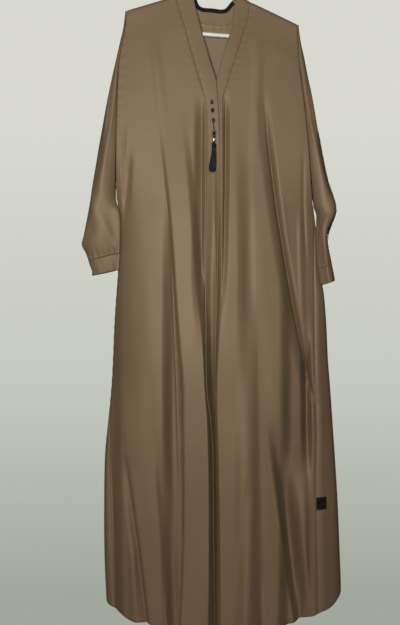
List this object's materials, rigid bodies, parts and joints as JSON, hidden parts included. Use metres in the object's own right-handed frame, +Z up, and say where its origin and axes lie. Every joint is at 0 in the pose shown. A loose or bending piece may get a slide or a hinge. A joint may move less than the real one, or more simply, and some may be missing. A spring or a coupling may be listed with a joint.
{
  "type": "abaya on a clothes hanger",
  "caption": "Long open-front abaya in taupe satin crepe with a V neck band, beads and a tassel, hanging on a white tube hanger.",
  "frame": {"origin": "inside top of the hanger's hook, where a nail or rail carries it", "axes": "+Z up, -Y out of the front of the garment, +X towards the wearer's left"},
  "size_m": [0.5936, 0.1921, 1.5504],
  "materials": {
    "cloth": "satin",
    "tape": "matte",
    "bead": "gloss",
    "thread": "silky",
    "silver": "polished",
    "hanger_plastic": "gloss"
  },
  "bodies": {
    "root": {"front_right_1": "cloth", "front_right_2": "cloth", "front_right_3": "cloth", "front_right_4": "cloth", "front_left_1": "cloth", "front_left_2": "cloth", "front_left_3": "cloth", "front_left_4": "cloth", "back_1": "cloth", "back_2": "cloth", "back_3": "cloth", "back_4": "cloth", "band_right_1": "cloth", "band_right_2": "cloth", "band_right_3": "cloth", "band_right_4": "cloth", "band_left_1": "cloth", "band_left_2": "cloth", "band_left_3": "cloth", "band_left_4": "cloth", "sleeve_right_1": "cloth", "sleeve_right_2": "cloth", "sleeve_left_1": "cloth", "sleeve_left_2": "cloth", "cuff_right": "cloth", "cuff_left": "cloth", "band_neck": "cloth", "neck_tape": "tape", "side_label": "tape", "bead_1": "bead", "bead_2": "bead", "bead_3": "bead", "tassel_cord": "thread", "tassel": "thread", "tassel_ring_silver": "silver", "tassel_ring_steel": "silver", "tassel_ferrule": "silver", "tassel_ring_black": "bead", "hanger_arm_right": "hanger_plastic", "hanger_arm_left": "hanger_plastic", "hanger_bar": "hanger_plastic", "hanger_hook": "hanger_plastic"}
  },
  "joints": []
}
